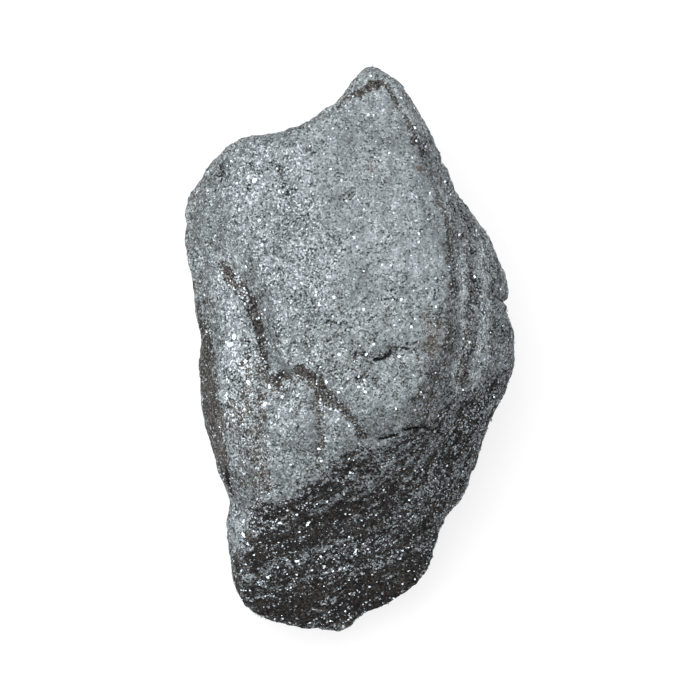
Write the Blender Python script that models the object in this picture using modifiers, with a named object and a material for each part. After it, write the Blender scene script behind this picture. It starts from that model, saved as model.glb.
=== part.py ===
"""A hand specimen of specular hematite: one natural stone, lying on a flat patch of its underside.

The stone is cut the way it broke. A block takes the outline that is seen from above, its walls
lean in above and below the belly, and named fracture planes take off its shoulders. The edges are
then worn round, and the layers of the rock, its grooves, plates and pits are raised on the surface.
Lengths in the tables are millimetres; +Y runs to the pointed end and +Z up from the resting patch.
"""
import math
from typing import NamedTuple

import bmesh
import bpy
import numpy as np
from mathutils import Vector, noise

# Driving dimensions
MM = 0.001
LENGTH = 90.4
WIDTH = 52.6
THICKNESS = 36.0
BLOCK_HEIGHT = 44.0
TRIANGLES = 9400
# Points nearer than this are one point
JOIN = 0.01

# Look of the plain solid: steel grey, half metal
STEEL_GREY = (0.19, 0.20, 0.21, 1.0)
METALLIC = 0.7
ROUGHNESS = 0.42

# Outline from above, clockwise from the pointed end
OUTLINE = (
    (3.7, 45.0), (5.2, 44.2), (8.0, 42.6), (10.2, 39.1), (12.0, 36.3), (13.3, 33.4), (15.5, 28.9),
    (17.3, 24.8), (19.4, 22.4), (22.4, 17.7), (24.5, 13.4), (25.3, 10.0), (25.3, 7.6), (24.7, 6.9),
    (25.7, 5.0), (26.3, 2.8), (26.3, -2.0), (25.9, -4.1), (24.9, -7.0), (22.8, -10.6), (21.7, -14.0),
    (20.6, -17.3), (19.3, -20.6), (17.9, -23.8), (15.7, -26.4), (14.0, -30.0), (13.0, -34.0),
    (12.0, -36.4), (9.4, -38.7), (6.4, -40.4), (3.3, -41.8), (2.1, -42.1), (0.7, -44.1),
    (-0.5, -45.3), (-6.7, -44.4), (-11.7, -43.6), (-15.2, -42.2), (-17.3, -40.5), (-18.7, -37.1),
    (-19.3, -31.6), (-20.1, -27.4), (-19.9, -26.0), (-19.0, -24.4), (-19.6, -22.9), (-21.0, -19.8),
    (-22.1, -15.0), (-23.3, -12.2), (-24.0, -8.0), (-24.1, 0.0), (-23.8, 2.2), (-24.5, 4.8),
    (-25.2, 10.0), (-26.0, 15.0), (-26.3, 22.0), (-26.0, 23.6), (-23.5, 27.3), (-22.6, 29.8),
    (-21.1, 31.3), (-18.7, 32.9), (-15.3, 33.9), (-11.2, 34.4), (-6.7, 36.2), (-3.9, 38.1),
    (-1.4, 40.1), (0.4, 42.7), (1.7, 44.3),
)

# Height at which the walls stand widest, at the middle of the stone, and its rise towards +Y
BELLY_HEIGHT = 14.0
BELLY_RISE = 0.13
# How far the outline has drawn in at the top of the block and on the resting patch
TOP_DRAW_IN = 0.06
TOP_CURVE = 2.0
FOOT_DRAW_IN = 0.36
FOOT_CURVE = 1.8
# Heights at which the walls of the block are cut across before they lean
WALL_LEVELS = (3.0, 6.0, 9.0, 12.0, 16.0, 20.0, 25.0, 31.0, 37.0)


class Fracture(NamedTuple):
    """A flat break: a point on it, the way it faces and how far it tips from level, in degrees."""

    point: tuple
    facing: float
    tip: float


FRACTURES = {
    "crown": Fracture((9.0, 6.0, 35.9), 130, 3),
    "pointed_end_shelf": Fracture((4.0, 18.0, 35.2), 95, 14),
    "west_shelf": Fracture((-6.0, 12.0, 34.2), 163, 19),
    "plate_shelf": Fracture((-4.0, -8.0, 34.4), 232, 21),
    "left_band": Fracture((-14.8, 6.0, 30.6), 186, 40),
    "left_flank": Fracture((-21.2, 1.4, 24.8), 187, 66),
    "left_flank_foot": Fracture((-19.4, -13.0, 25.0), 195, 66),
    "left_corner": Fracture((-22.4, 25.5, 26.6), 148, 52),
    "right_bevel": Fracture((17.0, 10.5, 34.9), 20, 53),
    "right_shoulder": Fracture((16.0, 5.5, 35.1), -13, 51),
    "right_heel": Fracture((12.2, -7.8, 34.5), -40, 52),
    "blunt_end_face": Fracture((-1.1, -16.0, 32.5), -80, 41),
    "blunt_end_brow": Fracture((-2.0, -34.0, 17.4), -70, 44),
    "blunt_end_toe": Fracture((-2.0, -44.2, 9.2), -90, 64),
    "blunt_end_left": Fracture((-16.8, -30.0, 20.5), -165, 58),
    "under_blunt_end": Fracture((-4.0, -41.6, 1.6), -98, 122),
    "under_right": Fracture((20.5, -6.0, 4.0), -8, 118),
    "under_right_heel": Fracture((14.8, -24.0, 3.0), -38, 124),
    "under_left": Fracture((-20.3, -6.0, 4.5), 184, 112),
    "under_left_corner": Fracture((-19.5, 20.0, 5.5), 152, 121),
    "under_pointed_end": Fracture((3.0, 36.0, 7.0), 84, 131),
    "under_right_bevel": Fracture((16.5, 20.0, 7.0), 27, 124),
}

# Wear of the broken edges: the net's face size, and how often and how far its points even out
WEAR_VOXEL = 0.95
WEAR_ROUNDS = 3
WEAR_SHARE = 0.5

# Layers of the rock: rise of their level towards +X and +Y, spacing, and how far a ledge stands out
LAYER_DIP = (-0.34, 0.06)
LAYER_SPACING = 5.2
LAYER_STEP = 0.95
# How far the levels wander, and over what length
LAYER_WANDER = 0.8
WANDER_SIZE = 17.0
# Shares of the spacing at which a ledge is full and starts to drop
LEDGE_FULL = 0.72
LEDGE_DROP = 0.78
# Ledges break off in patches of this size, where the roughness is low
BREAK_SIZE = 10.0
BREAK_RANGE = (-0.2, 0.35)
# Flat lenses between the ledges
LENS_LENGTH = 10.0
LENS_THICKNESS = 2.9
LENS_HEIGHT = 0.9

# Lumps and knuckles all over
LUMP_SIZE = 12.0
LUMP_HEIGHT = 0.5
KNUCKLE_SIZE = 4.6
KNUCKLE_HEIGHT = 0.26
# Places in the random field at which each roughness is read, so that no two are alike
ROUGHNESS_PLACES = {"lumps": 1.0, "knuckles": 2.0, "wander": 3.0, "breaks": 5.0, "lenses": 7.0}
PLACE_STRIDE = Vector((17.3, 5.1, 29.7))
# Ratio of each roughness octave to the one before
OCTAVE_RATIO = 2.1

# Upward share of the surface's direction between which grooves and pits come in
GROOVE_SIDE = (0.05, 0.35)
PIT_SIDE = (0.2, 0.5)
# Share of a step's reach over which its full drop holds
STEP_HOLD = 0.3

# The resting patch keeps its relief only above this height, and is cut this far above its lowest point
RESTING_CALM = 1.4
RESTING_SINK = 0.35
# Step of the walk that brings the worn outline back to its measure, and how far in the walls follow
WALK_STEP = 1.2
WALL_REACH = 7.0


class Groove(NamedTuple):
    """A line along the upper side: a furrow of a half width and depth, and a step down beside it.

    The step drops on the right-hand side of the way the path runs and fades out over its reach.
    """

    path: tuple
    width: float
    depth: float
    drop: float
    reach: float


# Each path is seen from above
GROOVES = {
    "left_band_step": Groove(((-19.5, 13.8), (-17.6, 10.8), (-15.2, 7.6), (-14.0, 2.6),
                              (-12.2, -1.8), (-10.7, -4.0)), 1.1, 0.55, 1.0, 7.0),
    "plate_step": Groove(((-10.7, -4.0), (-8.6, -3.6), (-5.9, -4.6), (-4.8, -7.2), (-2.1, -8.3),
                          (1.6, -12.0), (3.2, -14.6)), 1.0, 0.45, 0.9, 6.0),
    "plate_split": Groove(((-5.4, -7.6), (-4.9, -11.0), (-4.6, -15.2), (-5.6, -19.0)), 0.9, 0.5, 0.0, 1.0),
    "plate_left_side": Groove(((-10.9, -4.6), (-13.7, -8.4), (-14.9, -13.4), (-14.2, -18.6), (-11.4, -21.8)),
                              1.0, 0.75, 0.0, 1.0),
    "rim_crease": Groove(((-4.6, 36.0), (0.0, 39.4), (4.6, 42.6), (7.6, 40.2), (10.4, 34.0),
                          (12.6, 28.4)), 0.9, 0.5, 0.0, 1.0),
    "right_streak": Groove(((17.4, 18.4), (19.0, 12.0), (18.8, 6.0), (17.8, -0.6), (17.8, -6.0)),
                           1.3, 0.55, 0.0, 1.0),
    "right_edge_streak": Groove(((22.0, 13.8), (22.9, 7.0), (22.6, -1.0), (20.6, -8.0)),
                                1.1, 0.4, 0.0, 1.0),
    "nub_neck": Groove(((-18.6, -25.2), (-15.4, -26.8), (-14.2, -31.0), (-15.2, -35.5)), 1.1, 0.8, 0.0, 1.0),
}


class Pit(NamedTuple):
    """A small hollow in the upper face: its middle seen from above, its two half widths and depth."""

    centre: tuple
    along: float
    across: float
    turn: float
    depth: float


PITS = (
    Pit((5.8, -0.4), 2.2, 0.9, 18, 0.7),
    Pit((-2.1, 4.6), 1.2, 1.0, 0, 0.5),
    Pit((4.3, 8.2), 3.0, 1.6, 10, 0.35),
    Pit((-12.8, 29.3), 1.8, 0.9, -15, 0.45),
    Pit((10.8, 32.8), 1.2, 1.0, 60, 0.45),
    Pit((-11.0, 20.5), 2.6, 1.5, 40, 0.3),
    Pit((5.6, -13.0), 2.4, 0.9, 12, 0.5),
    Pit((14.2, -17.5), 2.8, 1.3, 50, 0.7),
)


def clear_scene() -> None:
    """Removes every object of the opened scene."""
    for old in list(bpy.data.objects):
        bpy.data.objects.remove(old, do_unlink=True)


def outline_block(collection: bpy.types.Collection) -> bpy.types.Object:
    """Extrudes the outline to a block that stands on the ground."""
    curve = bpy.data.curves.new("stone_outline", "CURVE")
    curve.dimensions = "2D"
    curve.fill_mode = "BOTH"
    curve.extrude = BLOCK_HEIGHT * MM / 2
    spline = curve.splines.new("POLY")
    spline.points.add(len(OUTLINE) - 1)
    for point, (x, y) in zip(spline.points, OUTLINE):
        point.co = (x * MM, y * MM, 0.0, 1.0)
    spline.use_cyclic_u = True
    guide = bpy.data.objects.new("outline_guide", curve)
    collection.objects.link(guide)
    guide.location.z = BLOCK_HEIGHT * MM / 2
    bpy.context.view_layer.update()
    mesh = bpy.data.meshes.new_from_object(guide.evaluated_get(bpy.context.evaluated_depsgraph_get()))
    mesh.transform(guide.matrix_world)
    bpy.data.objects.remove(guide)
    stone = bpy.data.objects.new("hematite_stone", mesh)
    collection.objects.link(stone)
    return stone


def edit(stone: bpy.types.Object) -> bmesh.types.BMesh:
    """Opens the stone's mesh for editing, with its doubled points joined."""
    work = bmesh.new()
    work.from_mesh(stone.data)
    bmesh.ops.remove_doubles(work, verts=work.verts, dist=JOIN * MM)
    return work


def close_edit(stone: bpy.types.Object, work: bmesh.types.BMesh) -> None:
    """Writes an edited mesh back, with its faces pointing out."""
    bmesh.ops.recalc_face_normals(work, faces=work.faces)
    work.to_mesh(stone.data)
    work.free()


def cut(work: bmesh.types.BMesh, point: Vector, normal: Vector, keep_both: bool = False) -> None:
    """Cuts along a plane and closes the cut, or only marks it where both sides are kept."""
    whole = list(work.verts) + list(work.edges) + list(work.faces)
    made = bmesh.ops.bisect_plane(work, geom=whole, plane_co=point, plane_no=normal,
                                  clear_outer=not keep_both)
    if not keep_both:
        rim = [item for item in made["geom_cut"] if isinstance(item, bmesh.types.BMEdge)]
        bmesh.ops.holes_fill(work, edges=rim)


def wall_width(x: float, y: float, z: float) -> float:
    """Gives the share of the outline's width that the walls keep at a height."""
    belly = BELLY_HEIGHT + BELLY_RISE * y
    if z > belly:
        share = (z - belly) / (BLOCK_HEIGHT - belly)
        return 1.0 - TOP_DRAW_IN * share ** TOP_CURVE
    share = (belly - z) / belly
    return 1.0 - FOOT_DRAW_IN * share ** FOOT_CURVE


def lean_walls(work: bmesh.types.BMesh) -> None:
    """Draws the block's walls in above and below its belly."""
    for level in WALL_LEVELS:
        cut(work, Vector((0, 0, level * MM)), Vector((0, 0, 1)), keep_both=True)
    for vertex in work.verts:
        width = wall_width(vertex.co.x / MM, vertex.co.y / MM, vertex.co.z / MM)
        vertex.co.x *= width
        vertex.co.y *= width


def break_faces(work: bmesh.types.BMesh) -> None:
    """Takes off the block's shoulders along the named fractures."""
    for fracture in FRACTURES.values():
        facing = math.radians(fracture.facing)
        tip = math.radians(fracture.tip)
        normal = Vector((math.cos(facing) * math.sin(tip), math.sin(facing) * math.sin(tip), math.cos(tip)))
        cut(work, Vector(fracture.point) * MM, normal)


def apply_modifiers(stone: bpy.types.Object) -> None:
    """Turns what the stone's modifiers make into its own mesh."""
    bpy.context.view_layer.update()
    worn = bpy.data.meshes.new_from_object(stone.evaluated_get(bpy.context.evaluated_depsgraph_get()))
    stone.modifiers.clear()
    stone.data = worn


def wear_edges(stone: bpy.types.Object) -> None:
    """Rounds the broken edges and gives the surface an even net of faces."""
    net = stone.modifiers.new("even_net", "REMESH")
    net.mode = "VOXEL"
    net.voxel_size = WEAR_VOXEL * MM
    soften = stone.modifiers.new("wear", "SMOOTH")
    soften.factor = WEAR_SHARE
    soften.iterations = WEAR_ROUNDS
    apply_modifiers(stone)


def points_of(mesh: bpy.types.Mesh) -> np.ndarray:
    """Reads a mesh's points, in millimetres."""
    flat = np.empty(len(mesh.vertices) * 3, dtype=np.float32)
    mesh.vertices.foreach_get("co", flat)
    return flat.reshape(-1, 3).astype(float) / MM


def normals_of(mesh: bpy.types.Mesh) -> np.ndarray:
    """Reads the direction in which the surface faces at each point."""
    flat = np.empty(len(mesh.vertices) * 3, dtype=np.float32)
    mesh.vertex_normals.foreach_get("vector", flat)
    return flat.reshape(-1, 3).astype(float)


def move_points(mesh: bpy.types.Mesh, points: np.ndarray) -> None:
    """Writes a mesh's points back, from millimetres."""
    mesh.vertices.foreach_set("co", (points * MM).astype(np.float32).ravel())
    mesh.update()


def rough(points: np.ndarray, size: float, name: str, octaves: int = 3) -> np.ndarray:
    """Gives an even random roughness, about -1 to 1, whose largest lumps have the given size."""
    place = ROUGHNESS_PLACES[name] * PLACE_STRIDE
    return np.array([noise.fractal(Vector(p) / size + place, 1.0, OCTAVE_RATIO, octaves) for p in points])


def smooth_step(low: float, high: float, value: np.ndarray) -> np.ndarray:
    """Rises from 0 to 1 as the value goes from low to high."""
    share = np.clip((value - low) / (high - low), 0.0, 1.0)
    return share * share * (3.0 - 2.0 * share)


def layer_relief(points: np.ndarray, normals: np.ndarray) -> np.ndarray:
    """Raises the rock's layers wherever a face crosses them: long lenses, and ledges that break off."""
    height = points[:, 2] + LAYER_DIP[0] * points[:, 0] + LAYER_DIP[1] * points[:, 1]
    level = height / LAYER_SPACING + LAYER_WANDER * rough(points, WANDER_SIZE, "wander", 2)
    phase = level - np.floor(level)
    ledge = smooth_step(0.0, LEDGE_FULL, phase) - smooth_step(LEDGE_DROP, 1.0, phase) - 0.5
    whole = smooth_step(*BREAK_RANGE, rough(points, BREAK_SIZE, "breaks", 2))
    flattened = np.column_stack((points[:, :2], height * LENS_LENGTH / LENS_THICKNESS))
    lens = rough(flattened, LENS_LENGTH, "lenses")
    across = np.sqrt(np.clip(1.0 - normals[:, 2] ** 2, 0.0, 1.0))
    return across * (LAYER_STEP * ledge * whole + LENS_HEIGHT * lens)


def along_path(points: np.ndarray, path: tuple) -> np.ndarray:
    """Measures how far each point, seen from above, lies from a path; below 0 on its right-hand side."""
    best = np.full(len(points), np.inf)
    side = np.zeros(len(points))
    for start, end in zip(path, path[1:]):
        start = np.array(start)
        run = np.array(end) - start
        share = np.clip(((points[:, :2] - start) @ run) / (run @ run), 0.0, 1.0)
        away = points[:, :2] - (start + share[:, None] * run)
        distance = np.hypot(away[:, 0], away[:, 1])
        nearer = distance < best
        best[nearer] = distance[nearer]
        side[nearer] = np.sign(run[0] * away[nearer, 1] - run[1] * away[nearer, 0])
    return best * side


def groove_relief(points: np.ndarray, normals: np.ndarray) -> np.ndarray:
    """Sinks the furrows and steps of the upper side."""
    upper = smooth_step(*GROOVE_SIDE, normals[:, 2])
    sunk = np.zeros(len(points))
    for groove in GROOVES.values():
        away = along_path(points, groove.path)
        sunk -= groove.depth * np.exp(-(away / groove.width) ** 2)
        fade = 1.0 - smooth_step(STEP_HOLD * groove.reach, groove.reach, np.abs(away))
        sunk -= groove.drop * fade * smooth_step(groove.width, -groove.width, away)
    return sunk * upper


def pit_relief(points: np.ndarray, normals: np.ndarray) -> np.ndarray:
    """Sinks the pits of the upper side."""
    sunk = np.zeros(len(points))
    for pit in PITS:
        turn = math.radians(pit.turn)
        away = points[:, :2] - np.array(pit.centre)
        along = away @ np.array((math.cos(turn), math.sin(turn)))
        across = away @ np.array((-math.sin(turn), math.cos(turn)))
        sunk -= pit.depth * np.exp(-(along / pit.along) ** 2 - (across / pit.across) ** 2)
    return sunk * smooth_step(*PIT_SIDE, normals[:, 2])


def raise_relief(stone: bpy.types.Object) -> None:
    """Raises lumps, layers, grooves and pits on the worn surface."""
    points = points_of(stone.data)
    normals = normals_of(stone.data)
    lift = LUMP_HEIGHT * rough(points, LUMP_SIZE, "lumps")
    lift += KNUCKLE_HEIGHT * rough(points, KNUCKLE_SIZE, "knuckles", 2)
    lift += layer_relief(points, normals)
    lift += groove_relief(points, normals)
    lift += pit_relief(points, normals)
    lift *= smooth_step(0.0, RESTING_CALM, points[:, 2])
    move_points(stone.data, points + normals * lift[:, None])


def outline_walk() -> tuple:
    """Walks round the outline in even steps; returns the steps and the way out of the stone at each."""
    ring = np.array(OUTLINE + OUTLINE[:1])
    lengths = np.hypot(*np.diff(ring, axis=0).T)
    along = np.concatenate(([0.0], np.cumsum(lengths)))
    places = np.arange(0.0, along[-1], WALK_STEP)
    steps = np.column_stack([np.interp(places, along, ring[:, axis]) for axis in range(2)])
    ahead = np.roll(steps, -1, axis=0) - np.roll(steps, 1, axis=0)
    out = np.column_stack((-ahead[:, 1], ahead[:, 0]))
    return steps, out / np.hypot(out[:, 0], out[:, 1])[:, None]


def true_outline(stone: bpy.types.Object) -> None:
    """Brings the widest points back to the outline, which the wear and the relief have moved."""
    points = points_of(stone.data)
    steps, out = outline_walk()
    away = points[:, None, :2] - steps[None, :, :]
    ahead = np.abs(away[..., 0] * out[:, 1] - away[..., 1] * out[:, 0])
    outward = (away * out).sum(axis=2)
    beside = (ahead < WALK_STEP) & (np.abs(outward) < WALL_REACH)
    short = -np.where(beside, outward, -WALL_REACH).max(axis=0)
    short = (np.roll(short, 1) + 2.0 * short + np.roll(short, -1)) / 4.0
    distance = np.hypot(away[..., 0], away[..., 1])
    nearest = distance.argmin(axis=1)
    share = smooth_step(WALL_REACH, 0.0, distance.min(axis=1))
    points[:, :2] += (short[nearest] * share)[:, None] * out[nearest]
    move_points(stone.data, points)


def thin_faces(stone: bpy.types.Object) -> None:
    """Thins the net to the wanted number of triangles, keeping the edges."""
    triangles = sum(len(face.vertices) - 2 for face in stone.data.polygons)
    thin = stone.modifiers.new("thin", "DECIMATE")
    thin.ratio = TRIANGLES / triangles
    thin.use_collapse_triangulate = True
    apply_modifiers(stone)


def rest_flat(stone: bpy.types.Object) -> None:
    """Cuts the resting patch level, sets the stone on it and over the middle of its own box."""
    points = points_of(stone.data)
    points[:, 2] -= points[:, 2].min() + RESTING_SINK
    scale = np.array((WIDTH, LENGTH, THICKNESS)) / np.array(
        (np.ptp(points[:, 0]), np.ptp(points[:, 1]), points[:, 2].max()))
    points *= scale
    points[:, :2] -= (points[:, :2].max(axis=0) + points[:, :2].min(axis=0)) / 2
    move_points(stone.data, points)
    work = edit(stone)
    cut(work, Vector((0, 0, 0)), Vector((0, 0, -1)))
    bmesh.ops.triangulate(work, faces=work.faces)
    close_edit(stone, work)


def hematite() -> bpy.types.Material:
    """Makes the stone's material: steel-grey iron ore whose tiny plates shine like metal."""
    material = bpy.data.materials.new("specular_hematite")
    material.use_nodes = True
    shader = material.node_tree.nodes["Principled BSDF"]
    shader.inputs["Base Color"].default_value = STEEL_GREY
    shader.inputs["Metallic"].default_value = METALLIC
    shader.inputs["Roughness"].default_value = ROUGHNESS
    material.diffuse_color = STEEL_GREY
    return material


def main() -> None:
    """Builds the stone."""
    clear_scene()
    collection = bpy.data.collections.new("hematite_specimen")
    bpy.context.scene.collection.children.link(collection)
    stone = outline_block(collection)
    work = edit(stone)
    lean_walls(work)
    break_faces(work)
    close_edit(stone, work)
    wear_edges(stone)
    raise_relief(stone)
    true_outline(stone)
    thin_faces(stone)
    rest_flat(stone)
    stone.data.name = "hematite_stone"
    stone.data.materials.clear()
    stone.data.materials.append(hematite())


if __name__ == "__main__":
    main()
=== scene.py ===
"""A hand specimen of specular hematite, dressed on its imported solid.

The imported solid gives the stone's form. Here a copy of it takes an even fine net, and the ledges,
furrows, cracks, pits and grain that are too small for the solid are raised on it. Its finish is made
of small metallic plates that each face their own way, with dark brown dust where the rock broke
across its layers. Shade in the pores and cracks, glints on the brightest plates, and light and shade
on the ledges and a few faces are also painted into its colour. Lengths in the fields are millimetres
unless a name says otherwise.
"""

import logging
import math
from dataclasses import dataclass
from enum import Enum
from functools import cached_property

import bpy
import numpy as np
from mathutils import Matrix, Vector, noise


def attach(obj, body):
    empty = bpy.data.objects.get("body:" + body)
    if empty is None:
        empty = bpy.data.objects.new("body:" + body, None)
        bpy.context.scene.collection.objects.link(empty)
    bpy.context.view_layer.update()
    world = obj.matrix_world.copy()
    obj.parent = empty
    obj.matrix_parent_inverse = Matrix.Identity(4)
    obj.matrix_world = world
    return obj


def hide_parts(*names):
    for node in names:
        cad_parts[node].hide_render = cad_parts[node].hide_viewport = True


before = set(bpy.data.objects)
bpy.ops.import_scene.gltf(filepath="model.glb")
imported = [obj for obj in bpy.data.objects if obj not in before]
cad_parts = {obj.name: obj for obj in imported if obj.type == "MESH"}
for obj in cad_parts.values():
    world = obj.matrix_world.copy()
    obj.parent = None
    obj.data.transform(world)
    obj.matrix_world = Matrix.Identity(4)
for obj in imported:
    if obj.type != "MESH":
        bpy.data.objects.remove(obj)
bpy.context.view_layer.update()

MM = 0.001
LOG = logging.getLogger("hematite_specimen")

# The rock's layers rise by these shares towards +X and +Y, as they do in the solid
LAYER_DIP = (-0.34, 0.06)
# The fields of roughness are read at places along this way, and each octave is this much finer
FIELD_WAY = Vector((17.3, 5.1, 29.7))
OCTAVE_FINER = 2.1
# A path, seen from above: its corners' distances to the right of and above the middle of the box
Path = tuple[tuple[float, float], ...]


class Side(Enum):
    """Sides of the stone, each told by how far its surface faces up where it ends and where it is full."""

    UPPER = (0.05, 0.35)
    FROM_ABOVE = (-0.3, 0.0)
    WHOLE = (-2.0, -1.5)


class Field(Enum):
    """Names each random field, with the place in space at which it is read, so that no two match."""

    WANDER = 11.0
    BREAKS = 13.0
    LENSES = 17.0
    SWAY = 19.0
    GRAIN = 23.0
    SAND = 29.0
    POCKS = 31.0
    DUST = 37.0
    BANDS = 39.0
    STREAKS = 41.0


def smooth_step(low: float, high: float, value: np.ndarray) -> np.ndarray:
    """Rises from 0 to 1 as a value goes from low to high.

    Args:
        low: Value at which the result is 0.
        high: Value at which the result is 1; it may be below low.
        value: The values to read.

    Returns:
        One share for each value.
    """
    share = np.clip((value - low) / (high - low), 0.0, 1.0)
    return share * share * (3.0 - 2.0 * share)


def rough(points: np.ndarray, size: float, kind: Field, octaves: int = 3) -> np.ndarray:
    """Reads an even random roughness at each point.

    Args:
        points: Places, in millimetres.
        size: Width of the largest lumps, in millimetres.
        kind: Which field to read.
        octaves: How many finer roughnesses ride on the largest.

    Returns:
        Values from about -1 to 1.
    """
    place = kind.value * FIELD_WAY
    return np.array([noise.fractal(Vector(point) / size + place, 1.0, OCTAVE_FINER, octaves)
                     for point in points])


def layer_height(points: np.ndarray) -> np.ndarray:
    """Returns each point's height in the stack of the rock's layers."""
    return points[:, 2] + LAYER_DIP[0] * points[:, 0] + LAYER_DIP[1] * points[:, 1]


def beyond_ends(points: np.ndarray, path: Path) -> np.ndarray:
    """Measures how far points lie beyond the nearer end of a path, both seen from above.

    Args:
        points: Places, in millimetres.
        path: Corners of the path.

    Returns:
        Distances, below 0 beside the path.
    """
    ends = []
    for end, inner in ((path[0], path[1]), (path[-1], path[-2])):
        way = np.subtract(end, inner)
        ends.append((points[:, :2] - np.array(end)) @ (way / np.linalg.norm(way)))
    return np.maximum(*ends)


def along_path(points: np.ndarray, path: Path) -> np.ndarray:
    """Measures how far each point lies from a path, both seen from above.

    Args:
        points: Places, in millimetres.
        path: Corners of the path.

    Returns:
        Distances, below 0 on the right-hand side of the way that the path runs.
    """
    best = np.full(len(points), np.inf)
    side = np.zeros(len(points))
    for start, end in zip(path, path[1:]):
        start = np.array(start)
        run = np.array(end) - start
        share = np.clip(((points[:, :2] - start) @ run) / (run @ run), 0.0, 1.0)
        away = points[:, :2] - (start + share[:, None] * run)
        distance = np.hypot(away[:, 0], away[:, 1])
        nearer = distance < best
        best[nearer] = distance[nearer]
        side[nearer] = np.sign(run[0] * away[nearer, 1] - run[1] * away[nearer, 0])
    return best * side


def linear(colour: str) -> tuple[float, float, float, float]:
    """Turns an sRGB hex colour to the linear one that a shader takes.

    Args:
        colour: Six hex digits after a #.

    Returns:
        Red, green, blue and a full alpha.
    """
    shares = [int(colour[place:place + 2], 16) / 255 for place in (1, 3, 5)]
    turned = [share / 12.92 if share <= 0.04045 else ((share + 0.055) / 1.055) ** 2.4 for share in shares]
    return (*turned, 1.0)


def add_node(tree: bpy.types.NodeTree, kind: str, inputs: dict | None = None, stops: tuple = (),
             **settings) -> bpy.types.Node:
    """Adds a node with its settings and links.

    Args:
        tree: The node tree that gets it.
        kind: The node's type name.
        inputs: What goes into each input, by name or number: a socket to link or a value to set.
        stops: Place and value of each stop, for a colour ramp.
        **settings: The node's own settings.

    Returns:
        The new node.
    """
    made = tree.nodes.new(kind)
    for name, value in settings.items():
        setattr(made, name, value)
    for name, value in (inputs or {}).items():
        if isinstance(value, bpy.types.NodeSocket):
            tree.links.new(value, made.inputs[name])
        else:
            made.inputs[name].default_value = value
    for number, (place, value) in enumerate(stops):
        elements = made.color_ramp.elements
        stop = elements[number] if number < 2 else elements.new(place)
        stop.position = place
        stop.color = value if isinstance(value, tuple) else (value, value, value, 1.0)
    return made


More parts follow.
